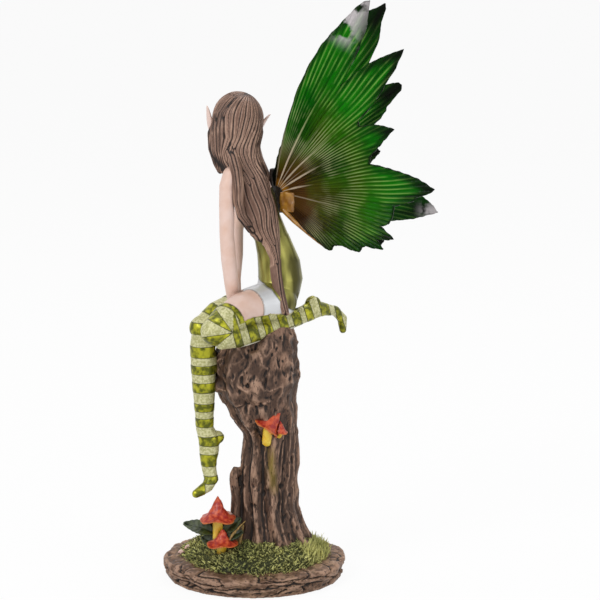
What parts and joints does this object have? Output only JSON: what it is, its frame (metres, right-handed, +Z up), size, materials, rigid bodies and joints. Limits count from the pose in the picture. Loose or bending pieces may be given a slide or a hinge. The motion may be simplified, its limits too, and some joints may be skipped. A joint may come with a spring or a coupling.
{
  "type": "fairy figurine",
  "caption": "Painted fairy sitting on a tree stump with a round mossy base, toadstools, striped stockings, long hair and tall ragged green wings.",
  "frame": {"origin": "centre of the base's flat underside", "axes": "+Z up along the trunk, +X toward the side the wings reach to, +Y away from the side the picture was taken from"},
  "size_m": [0.1311, 0.0827, 0.2759],
  "materials": {
    "stump_paint": "hand-painted cast resin, satin bark and matt moss",
    "figure_paint": "hand-painted cast resin with metallic paint on the dress and stockings",
    "left_wing_plastic": "glossy tinted translucent plastic",
    "right_wing_plastic": "glossy tinted translucent plastic"
  },
  "bodies": {
    "root": {"stump_base": "stump_paint", "fairy_figure": "figure_paint", "left_wing": "left_wing_plastic", "right_wing": "right_wing_plastic"}
  },
  "joints": []
}
